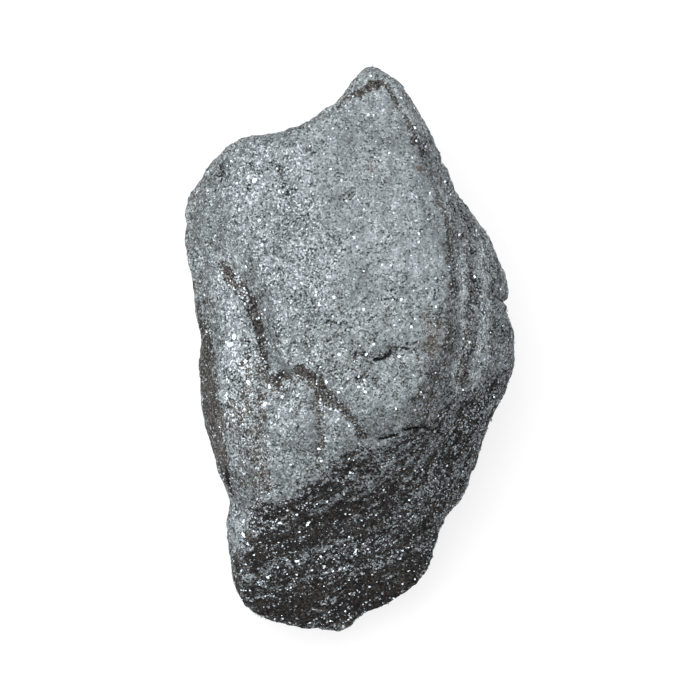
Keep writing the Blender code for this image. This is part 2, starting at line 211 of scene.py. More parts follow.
@dataclass(frozen=True)
class SpecularHematite:
    """Specular hematite, broken and unpolished: packed iron-oxide plates with a metal's shine.

    The plates are steel grey and each faces its own way, so a few glint white while their
    neighbours stay dull, and black pores lie between them; glints on the brightest plates and
    shade on the darkest plates, in the pores and in the cracks are also painted into the colour.
    Where the rock broke across its layers the plates stand on edge, matt brown-black oxide dust lies
    on them in streaks, and only some of them shine.
    """

    # Colours of clean plates by their tone, from painted shade on the darkest to painted glints on the
    # brightest
    clean_ramp_with_painted_glints: tuple[tuple[float, str], ...] = (
        (0.04, "#1c1d1e"), (0.12, "#494d50"), (0.26, "#62676a"), (0.50, "#757b7e"), (0.80, "#8b9295"),
        (0.96, "#c1c8cd"))
    # Colours of dusty plates by theirs, from deep brown-black dust to a thin film
    dusty_ramp: tuple[tuple[float, str], ...] = (
        (0.00, "#0e0d0d"), (0.30, "#292726"), (0.60, "#444240"), (0.84, "#6b6a68"), (1.00, "#888a89"))
    # Painted shade: the black of the pores between the plates
    pore_shade: str = "#1c1d1e"
    rust: str = "#66503b"
    # Painted shade: the black in a crack's gap
    crack_shade: str = "#0d0d0d"
    # Fine plates are 0.1 to 0.4 mm; the smallest are drawn at 0.23 so that the render shows them
    plate_mm: float = 0.23
    large_plate_mm: float = 0.55
    grain_mm: float = 0.18
    pore_mm: float = 0.42
    mottle_mm: float = 2.4
    cloud_mm: float = 9.0
    # The plates grew in rows along the stone, so its tone changes five times as slowly that way
    growth: tuple[float, float, float] = (1.6, 0.3, 1.6)
    streak_length_mm: float = 3.2
    streak_width_mm: float = 0.85
    # A plate's tone comes from its own lot, from its large plate's and from the fine grain
    tone_lots: tuple[float, float] = (0.84, 0.16)
    tone_grain: float = 0.5
    # A dusty plate keeps this much of its tone, and is lighter under a film than under a crust
    dusty_tone: float = 0.9
    film_tone: float = 0.28
    crust_tone: float = -0.12
    # Painted dust is raised by the gain, then lowered at random by the streaks, both lots and the grain
    dust_gain: float = 1.15
    dust_reaches: tuple[float, ...] = (0.9, 0.62, 0.38, 0.4)
    dusty_between: tuple[float, float] = (-0.86, -0.30)
    # How much clouds, mottles and growth rows lighten and darken the stone
    cloud_reaches: tuple[float, ...] = (0.18, 0.12, 0.20)
    cloud_between: tuple[float, float] = (0.25, 0.75)
    # Below this the pore noise is a pore; it is moved by the mottles and by the painted pores
    pore_between: tuple[float, float] = (0.61, 0.54)
    pore_mottle: float = 0.5
    pore_more: float = -0.09
    # Both in half widths of a crack
    crack_ragged: float = 3.6
    crack_edge: tuple[float, float] = (1.2, 0.8)
    plate_tilt: float = 0.26
    dusty_tilt: float = 0.5
    # How much of the tilt the small and the large plates each give
    tilt_shares: tuple[float, float] = (1.0, 0.5)
    metallic: float = 0.4
    dusty_metallic: float = 0.3
    roughness: float = 0.5
    dusty_roughness: float = 0.62
    # Low, because the oxide dust drinks light and the shine of the plates is a metal's
    gloss: float = 0.12

    def material(self) -> bpy.types.Material:
        """Builds the stone's material from its plates, pores, streaks and dust.

        Returns:
            The material.
        """
        made = bpy.data.materials.new("broken_specular_hematite")
        made.use_nodes = True
        tree = made.node_tree
        tree.nodes.clear()
        place = add_node(tree, "ShaderNodeTexCoord").outputs["Object"]
        mm = add_node(tree, "ShaderNodeVectorMath", {0: place, 3: 1 / MM}, operation="SCALE").outputs[0]
        grain = add_node(tree, "ShaderNodeTexNoise",
                         {"Vector": mm, "Scale": 1 / self.grain_mm, "Detail": 1.0, "Roughness": 0.5})
        bent = add_node(tree, "ShaderNodeVectorMath",
                        {0: grain.outputs["Color"], 1: (self.plate_mm,) * 3, 2: mm},
                        operation="MULTIPLY_ADD").outputs[0]
        plates = add_node(tree, "ShaderNodeTexVoronoi", {"Vector": bent, "Scale": 1 / self.plate_mm})
        large = add_node(tree, "ShaderNodeTexVoronoi", {"Vector": bent, "Scale": 1 / self.large_plate_mm})
        lots = [add_node(tree, "ShaderNodeSeparateColor", {0: cells.outputs["Color"]}).outputs[0]
                for cells in (plates, large)]
        streak = self.streaks(tree, mm)
        painted = add_node(tree, "ShaderNodeAttribute", attribute_name="dust").outputs["Fac"]
        dust = self.dust_share(tree, painted, streak, grain.outputs["Fac"], lots)
        colour = self.colour(tree, mm, lots, grain, dust)
        normal = self.plate_normal(tree, plates, large, painted)
        ends = {"Roughness": (self.roughness, self.dusty_roughness),
                "Metallic": (self.metallic, self.dusty_metallic)}
        shares = {name: add_node(tree, "ShaderNodeMapRange", {"Value": dust, "To Min": low, "To Max": high})
                  for name, (low, high) in ends.items()}
        shader = add_node(tree, "ShaderNodeBsdfPrincipled", {
            "Base Color": colour, "Normal": normal, "Specular IOR Level": self.gloss,
            **{name: share.outputs[0] for name, share in shares.items()}})
        add_node(tree, "ShaderNodeOutputMaterial", {"Surface": shader.outputs[0]})
        return made

    def streaks(self, tree: bpy.types.NodeTree, mm: bpy.types.NodeSocket) -> bpy.types.NodeSocket:
        """Draws long thin streaks that follow the rock's layers.

        Args:
            tree: The material's node tree.
            mm: Object coordinates in millimetres.

        Returns:
            A socket with the streaks, from 0 to 1.
        """
        height = add_node(tree, "ShaderNodeVectorMath", {0: mm, 1: (*LAYER_DIP, 1.0)},
                          operation="DOT_PRODUCT").outputs["Value"]
        stretch = self.streak_length_mm / self.streak_width_mm
        tall = add_node(tree, "ShaderNodeMath", {0: height, 1: stretch}, operation="MULTIPLY").outputs[0]
        axes = add_node(tree, "ShaderNodeSeparateXYZ", {0: mm})
        flat = add_node(tree, "ShaderNodeCombineXYZ", {0: axes.outputs[0], 1: axes.outputs[1], 2: tall})
        return add_node(tree, "ShaderNodeTexNoise",
                        {"Vector": flat.outputs[0], "Scale": 1 / self.streak_length_mm, "Detail": 3.0,
                         "Roughness": 0.6}).outputs["Fac"]

    def dust_share(self, tree: bpy.types.NodeTree, painted: bpy.types.NodeSocket,
                   streak: bpy.types.NodeSocket, grain: bpy.types.NodeSocket,
                   lots: list[bpy.types.NodeSocket]) -> bpy.types.NodeSocket:
        """Gives each plate dust or none, so that the painted dust is the share of dusty plates.

        Args:
            tree: The material's node tree.
            painted: The dust that is painted on the stone.
            streak: The layers' streaks.
            grain: The fine grain.
            lots: The random numbers of the small and the large plates.

        Returns:
            A socket with the share of dust, 0 where the plates are clean.
        """
        painted = add_node(tree, "ShaderNodeMath", {0: painted, 1: self.dust_gain},
                           operation="MULTIPLY").outputs[0]
        # Each of these is 0.5 on average, so about half of the plates are dusty where 0.5 is painted
        for part, reach in zip((streak, *lots, grain), self.dust_reaches):
            painted = add_node(tree, "ShaderNodeMath", {0: part, 1: -reach, 2: painted},
                               operation="MULTIPLY_ADD").outputs[0]
        least, most = self.dusty_between
        return add_node(tree, "ShaderNodeMapRange",
                        {"Value": painted, "From Min": least, "From Max": most},
                        interpolation_type="SMOOTHSTEP").outputs[0]

    def colour(self, tree: bpy.types.NodeTree, mm: bpy.types.NodeSocket, lots: list[bpy.types.NodeSocket],
               grain: bpy.types.Node, dust: bpy.types.NodeSocket) -> bpy.types.NodeSocket:
        """Mixes the colours of clean plates, pores, dust, rust and cracks, with painted glints and painted
        light, and painted shade in the pores and cracks.

        Args:
            tree: The material's node tree.
            mm: Object coordinates in millimetres.
            lots: The random numbers of the small and the large plates.
            grain: The fine grain.
            dust: Share of dust.

        Returns:
            A socket with the colour.
        """
        tone = add_node(tree, "ShaderNodeMath",
                        {0: grain.outputs["Fac"], 1: self.tone_grain, 2: -self.tone_grain / 2},
                        operation="MULTIPLY_ADD").outputs[0]
        for lot, share in zip(lots, self.tone_lots):
            tone = add_node(tree, "ShaderNodeMath", {0: lot, 1: share, 2: tone},
                            operation="MULTIPLY_ADD").outputs[0]
        thick = add_node(tree, "ShaderNodeAttribute", attribute_name="thick").outputs["Fac"]
        thin = add_node(tree, "ShaderNodeMapRange",
                        {"Value": thick, "To Min": self.film_tone, "To Max": self.crust_tone}).outputs[0]
        lit = add_node(tree, "ShaderNodeMath", {0: tone, 1: self.dusty_tone, 2: thin},
                       operation="MULTIPLY_ADD").outputs[0]
        # The clean ramp paints shade on the darkest plates and glints on the brightest
        clean, dusty = (
            add_node(tree, "ShaderNodeValToRGB", {0: value},
                     stops=tuple((place, linear(paint)) for place, paint in ramp))
            for value, ramp in ((tone, self.clean_ramp_with_painted_glints), (lit, self.dusty_ramp)))
        mixed = add_node(tree, "ShaderNodeMix", {"Factor": dust, 6: clean.outputs[0], 7: dusty.outputs[0]},
                         data_type="RGBA").outputs[2]
        clouds = [add_node(tree, "ShaderNodeTexNoise",
                           {"Vector": mm, "Scale": 1 / size, "Detail": 2.0, "Roughness": 0.5}).outputs["Fac"]
                  for size in (self.cloud_mm, self.mottle_mm)]
        grown = add_node(tree, "ShaderNodeVectorMath", {0: mm, 1: self.growth}, operation="MULTIPLY")
        clouds.append(add_node(tree, "ShaderNodeTexNoise",
                               {"Vector": grown.outputs[0], "Scale": 1 / self.mottle_mm, "Detail": 3.0,
                                "Roughness": 0.6}).outputs["Fac"])
        least, most = self.cloud_between
        for cloud, reach in zip(clouds, self.cloud_reaches):
            share = add_node(tree, "ShaderNodeMapRange",
                             {"Value": cloud, "From Min": least, "From Max": most,
                              "To Min": 1.0 - reach, "To Max": 1.0 + reach}).outputs[0]
            mixed = add_node(tree, "ShaderNodeVectorMath", {0: mixed, 3: share},
                             operation="SCALE").outputs[0]
        spots = add_node(tree, "ShaderNodeTexNoise",
                         {"Vector": mm, "Scale": 1 / self.pore_mm, "Detail": 2.0, "Roughness": 0.6})
        sparse = add_node(tree, "ShaderNodeMath",
                          {0: clouds[1], 1: self.pore_mottle, 2: spots.outputs["Fac"]},
                          operation="MULTIPLY_ADD").outputs[0]
        pored = add_node(tree, "ShaderNodeAttribute", attribute_name="pored").outputs["Fac"]
        sparse = add_node(tree, "ShaderNodeMath", {0: pored, 1: self.pore_more, 2: sparse},
                          operation="MULTIPLY_ADD").outputs[0]
        none, full = self.pore_between
        hole = add_node(tree, "ShaderNodeMapRange",
                        {"Value": sparse, "From Min": none, "From Max": full},
                        interpolation_type="SMOOTHSTEP").outputs[0]
        # Painted shade: the pores are drawn black
        mixed = add_node(tree, "ShaderNodeMix", {"Factor": hole, 6: mixed, 7: linear(self.pore_shade)},
                         data_type="RGBA").outputs[2]
        # Lighter where fresh rock is bare, and painted light on the left band, the nub and the right flank's
        # streaks
        fresh = add_node(tree, "ShaderNodeAttribute", attribute_name="fresh").outputs["Fac"]
        brighter = add_node(tree, "ShaderNodeMath", {0: fresh, 1: 1.0}, operation="ADD").outputs[0]
        mixed = add_node(tree, "ShaderNodeVectorMath", {0: mixed, 3: brighter}, operation="SCALE").outputs[0]
        rust = add_node(tree, "ShaderNodeAttribute", attribute_name="rust").outputs["Fac"]
        crack = self.crack(tree, grain.outputs["Fac"])
        # Painted shade: the cracks' gaps are drawn black
        for share, paint in ((rust, self.rust), (crack, self.crack_shade)):
            mixed = add_node(tree, "ShaderNodeMix", {"Factor": share, 6: mixed, 7: linear(paint)},
                             data_type="RGBA").outputs[2]
        return mixed

    def crack(self, tree: bpy.types.NodeTree, grain: bpy.types.NodeSocket) -> bpy.types.NodeSocket:
        """Draws the thin ragged cracks.

        Args:
            tree: The material's node tree.
            grain: The fine grain, which makes their edges ragged.

        Returns:
            A socket with the share of a crack's gap, painted black as its shade.
        """
        side, share = (add_node(tree, "ShaderNodeAttribute", attribute_name=name).outputs["Fac"]
                       for name in ("crack_side", "crack"))
        # The side is counted in half widths, so the crack's edge lies at 1
        low = add_node(tree, "ShaderNodeMath",
                       {0: grain, 1: self.crack_ragged, 2: -self.crack_ragged / 2}, operation="MULTIPLY_ADD")
        bent = add_node(tree, "ShaderNodeMath", {0: side, 1: low.outputs[0]}, operation="ADD")
        away = add_node(tree, "ShaderNodeMath", {0: bent.outputs[0]}, operation="ABSOLUTE").outputs[0]
        none, full = self.crack_edge
        inside = add_node(tree, "ShaderNodeMapRange", {"Value": away, "From Min": none, "From Max": full})
        return add_node(tree, "ShaderNodeMath", {0: inside.outputs[0], 1: share},
                        operation="MULTIPLY").outputs[0]

    def plate_normal(self, tree: bpy.types.NodeTree, plates: bpy.types.Node, large: bpy.types.Node,
                     painted: bpy.types.NodeSocket) -> bpy.types.NodeSocket:
        """Turns every plate its own way, further where the rock broke across its layers.

        Args:
            tree: The material's node tree.
            plates: The cells of the small plates.
            large: The cells of the large plates.
            painted: The dust that is painted on the stone.

        Returns:
            A socket with the direction in which the surface faces.
        """
        facing = add_node(tree, "ShaderNodeNewGeometry").outputs["Normal"]
        for cells, share in zip((plates, large), self.tilt_shares):
            tilt = add_node(tree, "ShaderNodeMapRange",
                            {"Value": painted, "To Min": 2 * share * self.plate_tilt,
                             "To Max": 2 * share * self.dusty_tilt}).outputs[0]
            lean = add_node(tree, "ShaderNodeVectorMath",
                            {0: cells.outputs["Color"], 1: (0.5, 0.5, 0.5)}, operation="SUBTRACT")
            scaled = add_node(tree, "ShaderNodeVectorMath", {0: lean.outputs[0], 3: tilt}, operation="SCALE")
            facing = add_node(tree, "ShaderNodeVectorMath", {0: facing, 1: scaled.outputs[0]},
                              operation="ADD").outputs[0]
        return add_node(tree, "ShaderNodeVectorMath", {0: facing}, operation="NORMALIZE").outputs[0]


@dataclass(frozen=True)
class CleavedPlate:
    """Single cleaved plates of specular hematite: bare, smooth and as bright as polished iron."""

    colour: str = "#bcc6ce"
    metallic: float = 0.75
    roughness: float = 0.36

    def material(self) -> bpy.types.Material:
        """Builds the material of the glinting plates.

        Returns:
            The material.
        """
        made = bpy.data.materials.new("cleaved_specular_hematite")
        made.use_nodes = True
        shader = made.node_tree.nodes["Principled BSDF"]
        shader.inputs["Base Color"].default_value = linear(self.colour)
        shader.inputs["Metallic"].default_value = self.metallic
        shader.inputs["Roughness"].default_value = self.roughness
        return made


@dataclass(frozen=True)
class OpalAcrylic:
    """Matt opal acrylic of a light table: it glows white, so the stone's shade on it stays faint."""

    colour: str = "#7f7f7f"
    glow: float = 0.81

    def material(self) -> bpy.types.Material:
        """Builds the floor's material.

        Returns:
            The material.
        """
        made = bpy.data.materials.new("matt_opal_acrylic")
        made.use_nodes = True
        shader = made.node_tree.nodes["Principled BSDF"]
        shader.inputs["Base Color"].default_value = linear(self.colour)
        shader.inputs["Roughness"].default_value = 1.0
        shader.inputs["Specular IOR Level"].default_value = 0.0
        shader.inputs["Emission Color"].default_value = (1.0, 1.0, 1.0, 1.0)
        shader.inputs["Emission Strength"].default_value = self.glow
        return made


@dataclass(frozen=True)
class Furrow:
    """A line sunk in the upper side: its corners seen from above, half width and depth.

    One that has a lowest height runs down a side of the stone as far as that height.
    """

    path: Path
    width: float
    depth: float
    ragged: float = 0.5
    lowest: float | None = None


@dataclass(frozen=True)
class Crack:
    """A thin crack in the upper side, its gap painted black as shade: its corners seen from above and half
    its width.
    """

    path: Path
    half_width: float
    strength: float = 1.0


@dataclass(frozen=True)
class Stain:
    """Dust, or another mark such as painted light or painted shade, on the right-hand side of a path, seen
    from above and as far from it as its reach.

    Its strength is the share of plates that it covers, and thick tells a crust, 1, from a film, 0.
    It lies between its lowest and highest height, and its ends thin out over the length that is frayed.
    """

    path: Path
    reach: float
    strength: float
    soft: float = 0.5
    ragged: float = 0.6
    side: Side = Side.UPPER
    thick: float = 0.0
    lowest: float = -9.0
    highest: float = 99.0
    frayed: float = 0.0


FURROWS = (
    Furrow(((-18.4, 12.2), (-16.8, 9.9), (-15.4, 7.4), (-14.6, 4.6), (-13.7, 1.0), (-12.9, -2.2),
            (-10.7, -4.4)), 0.95, 0.34),
    Furrow(((-10.7, -4.4), (-8.6, -3.8), (-5.9, -4.6), (-3.6, -7.2), (-1.4, -8.9), (1.0, -12.0),
            (1.8, -13.8)), 0.85, 0.24),
    Furrow(((-5.4, -8.8), (-4.8, -11.4), (-4.5, -14.6), (-5.0, -17.0)), 0.9, 0.12),
    Furrow(((-11.6, -5.6), (-14.0, -8.4), (-15.1, -13.4), (-14.6, -18.6), (-12.4, -22.8)), 0.8, 0.14),
    Furrow(((-1.2, 39.8), (1.4, 41.0), (3.8, 42.1), (6.1, 41.4), (7.8, 38.8), (9.3, 35.8), (10.6, 32.4),
            (12.3, 28.0)), 0.8, 0.14),
    Furrow(((3.2, -1.0), (5.0, -1.1), (5.8, -0.9), (6.4, -0.2), (7.2, 0.3)), 0.3, 0.3, 0.1),
    Furrow(((4.4, -14.0), (6.0, -13.6), (7.6, -13.1), (9.8, -12.4), (11.8, -12.0)), 0.34, 0.4, 0.2),
    Furrow(((23.4, 8.5), (24.8, 7.8), (28.0, 6.6)), 0.42, 0.62, 0.3, lowest=11.0),
)

# Where two cracks are near, a point belongs to the later one
CRACKS = (
    Crack(((6.3, -0.24), (6.8, 0.2), (7.4, 0.2)), 0.19),
    Crack(((1.8, -0.6), (3.0, -0.9), (4.2, -1.3)), 0.2),
    Crack(((2.6, -1.7), (3.8, -1.9), (4.6, -1.5)), 0.15, 0.9),
    Crack(((8.2, 0.5), (9.2, 0.3)), 0.2, 0.9),
    Crack(((4.6, -13.9), (6.0, -13.6), (7.6, -13.1)), 0.24),
    Crack(((8.6, -12.5), (9.8, -12.1), (11.8, -12.1), (14.2, -13.0)), 0.20),
    Crack(((-19.7, -18.4), (-19.2, -21.0), (-18.7, -23.2)), 0.26, 0.9),
    Crack(((-18.3, 9.4), (-16.7, 7.5), (-15.7, 5.4), (-14.9, 3.0), (-14.2, 0.6), (-13.7, -1.5)), 0.15, 0.7),
    Crack(((22.8, 8.6), (24.0, 8.0), (25.4, 7.3)), 0.15, 0.8),
    Crack(((5.2, 8.0), (6.4, 8.2), (7.4, 8.0)), 0.14, 0.8),
    Crack(((-2.9, 4.6), (-1.8, 4.2), (-1.0, 4.5)), 0.16, 0.9),
    Crack(((3.7, -1.4), (4.96, -1.25), (5.76, -0.9), (6.5, -0.1)), 0.30),
)

# Where dust lies, by the part of the stone that it stains, and where painted shade lies on the oval plate's
# shoulder
STAINS = {
    "blunt_end": Stain(((-22.0, -31.6), (-19.0, -32.0), (-17.0, -31.0), (-16.0, -28.0), (-15.0, -24.4),
                        (-10.1, -22.2), (-4.8, -18.7), (-1.1, -16.0), (5.3, -14.0), (10.7, -11.6),
                        (14.1, -8.9), (17.9, -7.0), (22.4, -4.7), (26.6, -1.8)),
                       90.0, 0.90, 2.2, 1.3, side=Side.WHOLE, thick=0.85),
    "blunt_end_top": Stain(((-16.0, -25.2), (-10.1, -22.9), (-4.8, -19.4), (-1.1, -16.8)),
                           3.0, 0.92, 1.4, 1.3, thick=0.8),
    "blunt_end_band": Stain(((-5.0, -23.8), (2.0, -21.6), (8.0, -19.8), (13.0, -18.0)),
                            5.0, 1.0, 1.4, 1.3, thick=1.0),
    "blunt_end_toe": Stain(((-20.0, -35.6), (-12.0, -38.4), (0.0, -38.2), (8.0, -36.6)), 20.0, 1.02, 1.8,
                           1.2, side=Side.WHOLE, thick=1.0),
    "left_strip": Stain(((-24.6, 10.2), (-22.9, 7.4), (-21.9, 3.0), (-21.1, -2.6), (-20.6, -8.2),
                         (-19.9, -13.4), (-19.2, -18.2), (-18.9, -21.4), (-18.7, -24.2)),
                        3.2, 0.98, 0.3, 0.3, side=Side.WHOLE, thick=0.4, frayed=7.0),
    "left_wall": Stain(((-36.0, 22.0), (-22.0, 13.0), (-11.0, 5.0), (-7.0, -6.0), (-7.0, -32.0)),
                       90.0, 0.78, 4.0, 5.0, side=Side.WHOLE, thick=0.5, highest=11.0),
    "groove_top": Stain(((-18.8, 13.2), (-16.4, 10.9), (-14.9, 8.2), (-14.2, 6.0)), 2.2, 0.92, 0.4, 0.4,
                        thick=0.5),
    "band_groove": Stain(((-14.7, 7.4), (-13.9, 4.7), (-13.2, 0.8), (-12.7, -2.2), (-10.8, -5.0)),
                         1.2, 0.94, 0.3, 0.3, thick=0.6),
    "beside_groove": Stain(((-10.8, 6.4), (-10.8, 1.6)), 1.0, 0.5, 0.5, 0.6),
    "band_streaks": Stain(((-13.3, -3.2), (-13.2, -9.7)), 1.6, 0.7, 0.5, 0.6),
    "band_inner_side": Stain(((-15.6, -1.8), (-15.7, -7.0), (-15.6, -13.0)), 1.5, 0.74, 0.5, 0.6),
    "band_foot": Stain(((-18.2, -25.4), (-20.0, -13.6)), 6.6, 0.62, 1.8, 1.2),
    "lower_face": Stain(((2.6, 3.0), (12.4, 2.4)), 9.5, 0.26, 2.0, 1.6),
    "corner_left": Stain(((-12.2, -4.2), (-9.6, -3.0), (-6.6, -3.4)), 2.6, 0.62, 0.8, 1.4, thick=0.1),
    "plate_corner": Stain(((-6.8, -2.4), (-5.0, -3.0), (-3.9, -5.2), (-2.6, -7.2)), 2.1, 0.86, 0.6, 0.7,
                          thick=0.4),
    # Painted shade: a broad faint darkening over the oval plate's upper left
    "oval_shoulder_shade": Stain(((-16.6, -3.4), (-9.0, -4.0)), 6.4, 0.26, 1.4, 1.2),
    "plate_boundary": Stain(((-2.8, -6.6), (-0.7, -8.7), (0.9, -10.4), (2.2, -12.6)), 1.4, 0.92, 0.45, 0.5,
                            thick=0.3),
    "plate_split": Stain(((-4.6, -8.2), (-3.9, -11.4), (-3.6, -14.6), (-4.2, -16.8)), 1.4, 0.5, 0.6, 0.5),
    "plate_left_side": Stain(((-13.4, -6.3), (-14.3, -11.4), (-14.2, -16.2), (-13.4, -21.0)),
                             1.2, 0.42, 0.6, 0.6),
    "rim_left": Stain(((-2.0, 40.0), (0.3, 41.2), (2.4, 42.1), (3.8, 42.6)), 1.5, 0.9, 0.4, 0.5, thick=0.4),
    "rim": Stain(((3.6, 42.6), (5.4, 42.5), (6.7, 41.3), (8.1, 38.8), (9.5, 36.2), (10.8, 33.4)),
                 0.9, 0.8, 0.3, 0.3, thick=0.3),
    "rim_patch": Stain(((11.0, 34.4), (12.0, 31.8)), 1.6, 0.92, 0.4, 0.5, thick=0.5),
    "rim_right": Stain(((12.2, 31.8), (13.4, 28.6), (14.4, 24.6), (16.2, 20.0)), 1.3, 0.55, 0.6, 0.6),
    "ridge": Stain(((16.2, 18.0), (16.6, 13.4), (16.6, 8.4), (16.4, 3.0), (15.2, -0.9), (13.4, -4.1)),
                   1.4, 0.8, 0.6, 0.6, thick=0.3),
    "right_streak": Stain(((19.3, 15.4), (20.1, 9.4), (19.6, 1.4), (18.5, -5.8)),
                          1.9, 0.72, 0.7, 0.8, thick=0.2),
    "right_edge_streak": Stain(((22.9, 10.2), (23.5, 4.6), (23.4, -1.8), (21.8, -8.2)), 1.4, 0.5, 0.6, 0.7),
    "ridge_foot": Stain(((15.5, 2.6), (15.7, -3.4), (14.4, -10.2)), 4.2, 0.6, 1.2, 1.2),
    "upper_hollow": Stain(((-2.6, 10.9), (3.5, 10.8), (8.0, 10.3)), 5.4, 0.14, 1.4, 1.2),
    "right_flank": Stain(((15.0, -5.0), (16.6, 4.0), (16.4, 14.0), (15.2, 22.0), (12.8, 30.0)),
                         90.0, 0.26, 1.4, 1.0, side=Side.WHOLE),
    "left_rim": Stain(((-25.3, 25.4), (-24.5, 19.0), (-23.8, 13.8), (-22.4, 9.7)), 4.0, 0.4, 0.9, 0.7,
                      side=Side.FROM_ABOVE),
}

# Where many bare plates lie close together
GLINTS = (
    Stain(((-15.8, -26.6), (-10.6, -26.6)), 1.6, 0.9, 0.4, 0.5),
    Stain(((-9.6, -25.2), (-4.8, -23.4)), 1.1, 0.7, 0.4, 0.5),
    Stain(((-9.8, -32.8), (-6.4, -31.6), (-3.2, -30.6)), 1.7, 1.0, 0.4, 0.5),
    Stain(((-14.2, -36.2), (-12.4, -33.6)), 1.1, 1.0, 0.4, 0.5),
    Stain(((-6.4, -35.4), (0.4, -34.2)), 1.4, 0.9, 0.4, 0.5),
    Stain(((0.0, -31.0), (4.6, -29.6)), 1.9, 0.9, 0.4, 0.5),
    Stain(((3.4, -33.4), (6.8, -32.0)), 1.5, 0.9, 0.4, 0.5),
    Stain(((-15.0, -39.2), (-13.2, -38.6)), 0.9, 0.7, 0.3, 0.4),
    Stain(((-4.2, -39.6), (0.0, -38.8)), 1.0, 0.8, 0.3, 0.4),
    Stain(((-5.0, -20.4), (-2.6, -15.8)), 0.9, 0.9, 0.3, 0.4),
    Stain(((-4.8, -24.0), (-2.4, -22.8)), 0.9, 0.7, 0.3, 0.4),
    Stain(((-18.2, -25.8), (-17.0, -30.2)), 1.9, 0.8, 0.4, 0.5),
    Stain(((-18.2, 1.6), (-18.4, 0.2)), 1.2, 1.0, 0.3, 0.3),
    Stain(((-16.8, 26.4), (-14.6, 26.0)), 1.2, 0.6, 0.4, 0.4),
    Stain(((-4.6, -3.9), (-3.5, -4.1), (-3.5, -5.0)), 0.4, 0.8, 0.2, 0.2),
)

# Large bare plates: distances to the right of and above the middle of the box, and half widths
LARGE_PLATES = (
    (-16.0, -5.1, 0.32), (-3.6, -4.9, 0.26), (-15.2, 26.7, 0.34), (-12.7, -5.8, 0.28), (-13.4, -8.4, 0.28),
    (-16.8, -27.0, 0.28), (7.9, 8.1, 0.22), (-0.1, -19.2, 0.21), (9.6, 3.8, 0.22), (-4.1, -34.2, 0.21),
    (-5.0, -15.6, 0.21), (-10.6, -7.4, 0.25), (-13.9, 16.6, 0.25), (-8.5, -25.9, 0.24),
    (-17.8, -15.1, 0.24), (2.1, 6.5, 0.19), (-6.2, -35.0, 0.21), (-11.1, -27.3, 0.24), (-16.5, -1.6, 0.24),
    (-17.0, -29.1, 0.24), (-19.0, 1.0, 0.40), (-18.3, 2.0, 0.30), (18.9, 1.4, 0.18), (17.1, 18.1, 0.18),
    (2.6, -0.7, 0.19), (1.2, -5.7, 0.19), (-1.7, -6.5, 0.19), (-1.7, -0.6, 0.21), (-2.6, 8.3, 0.19),
    (-13.0, -35.9, 0.25), (21.2, -1.5, 0.17), (20.7, 6.3, 0.17), (13.6, 6.8, 0.18), (10.9, 16.9, 0.18),
    (3.7, 1.0, 0.18), (-8.4, -33.6, 0.22), (-12.8, 1.2, 0.21), (-14.2, 20.6, 0.21), (-3.6, -23.9, 0.18),
)

# Small rust spots, and a faint rusty tinge
RUST = (
    Stain(((3.5, 29.1), (3.9, 28.3)), 0.45, 0.5, 0.3, 0.2),
    Stain(((10.9, 29.0), (11.4, 28.7)), 0.4, 0.7, 0.3, 0.2),
    Stain(((12.9, 5.6), (14.4, 0.4)), 1.6, 0.08, 0.9, 1.2),
    Stain(((9.6, -10.8), (13.6, -9.6)), 1.4, 0.10, 0.9, 1.0),
)

# Where many black pores lie between the plates, their black painted shade in small pits
PORED = (
    Stain(((-4.6, 10.6), (1.0, 9.4), (8.6, 10.6)), 6.0, 0.55, 1.6, 1.4),
    Stain(((1.6, 0.2), (5.0, -0.2), (9.4, 1.2)), 1.7, 0.8, 0.5, 0.5),
    Stain(((-2.9, 4.9), (-1.0, 4.7)), 1.0, 1.0, 0.3, 0.4),
    Stain(((5.6, 8.3), (7.4, 8.5)), 0.9, 1.0, 0.3, 0.4),
    Stain(((-13.6, 29.4), (-10.8, 28.6), (-11.4, 24.8)), 1.8, 0.9, 0.5, 0.6),
    Stain(((-18.0, 30.2), (-10.0, 29.6), (-6.0, 22.0)), 7.0, 0.35, 2.0, 1.4),
    Stain(((-10.9, 6.6), (-10.8, 1.4)), 1.1, 1.0, 0.3, 0.4),
    Stain(((6.0, -2.6), (12.6, -4.0)), 6.0, 0.45, 1.6, 1.2),
    Stain(((-15.6, 3.0), (-16.2, -12.0)), 4.0, 0.5, 1.0, 0.8),
    Stain(((-16.4, -25.4), (-17.2, -29.4)), 2.4, 0.9, 0.5, 0.5),
    Stain(((10.6, 33.8), (11.4, 32.2)), 1.0, 0.9, 0.3, 0.4),
    Stain(((14.6, -6.0), (16.4, 4.0), (16.2, 14.0), (15.0, 20.0)), 12.0, 0.6, 1.0, 1.2),
)

# Places with less dust than the stains give them; their strength is the share that is missing
CLEAN = (
    Stain(((-15.8, -24.4), (-16.2, -27.0), (-16.8, -29.0)), 2.8, 0.9, 0.7, 0.8, side=Side.WHOLE, lowest=13.0),
    Stain(((-1.0, -14.8), (4.6, -13.8)), 4.0, 0.26, 1.0, 1.2),
    Stain(((7.0, -12.0), (12.6, -9.4), (19.0, -7.0), (24.6, -3.0)), 14.0, 0.20, 2.0, 1.2, side=Side.WHOLE),
)

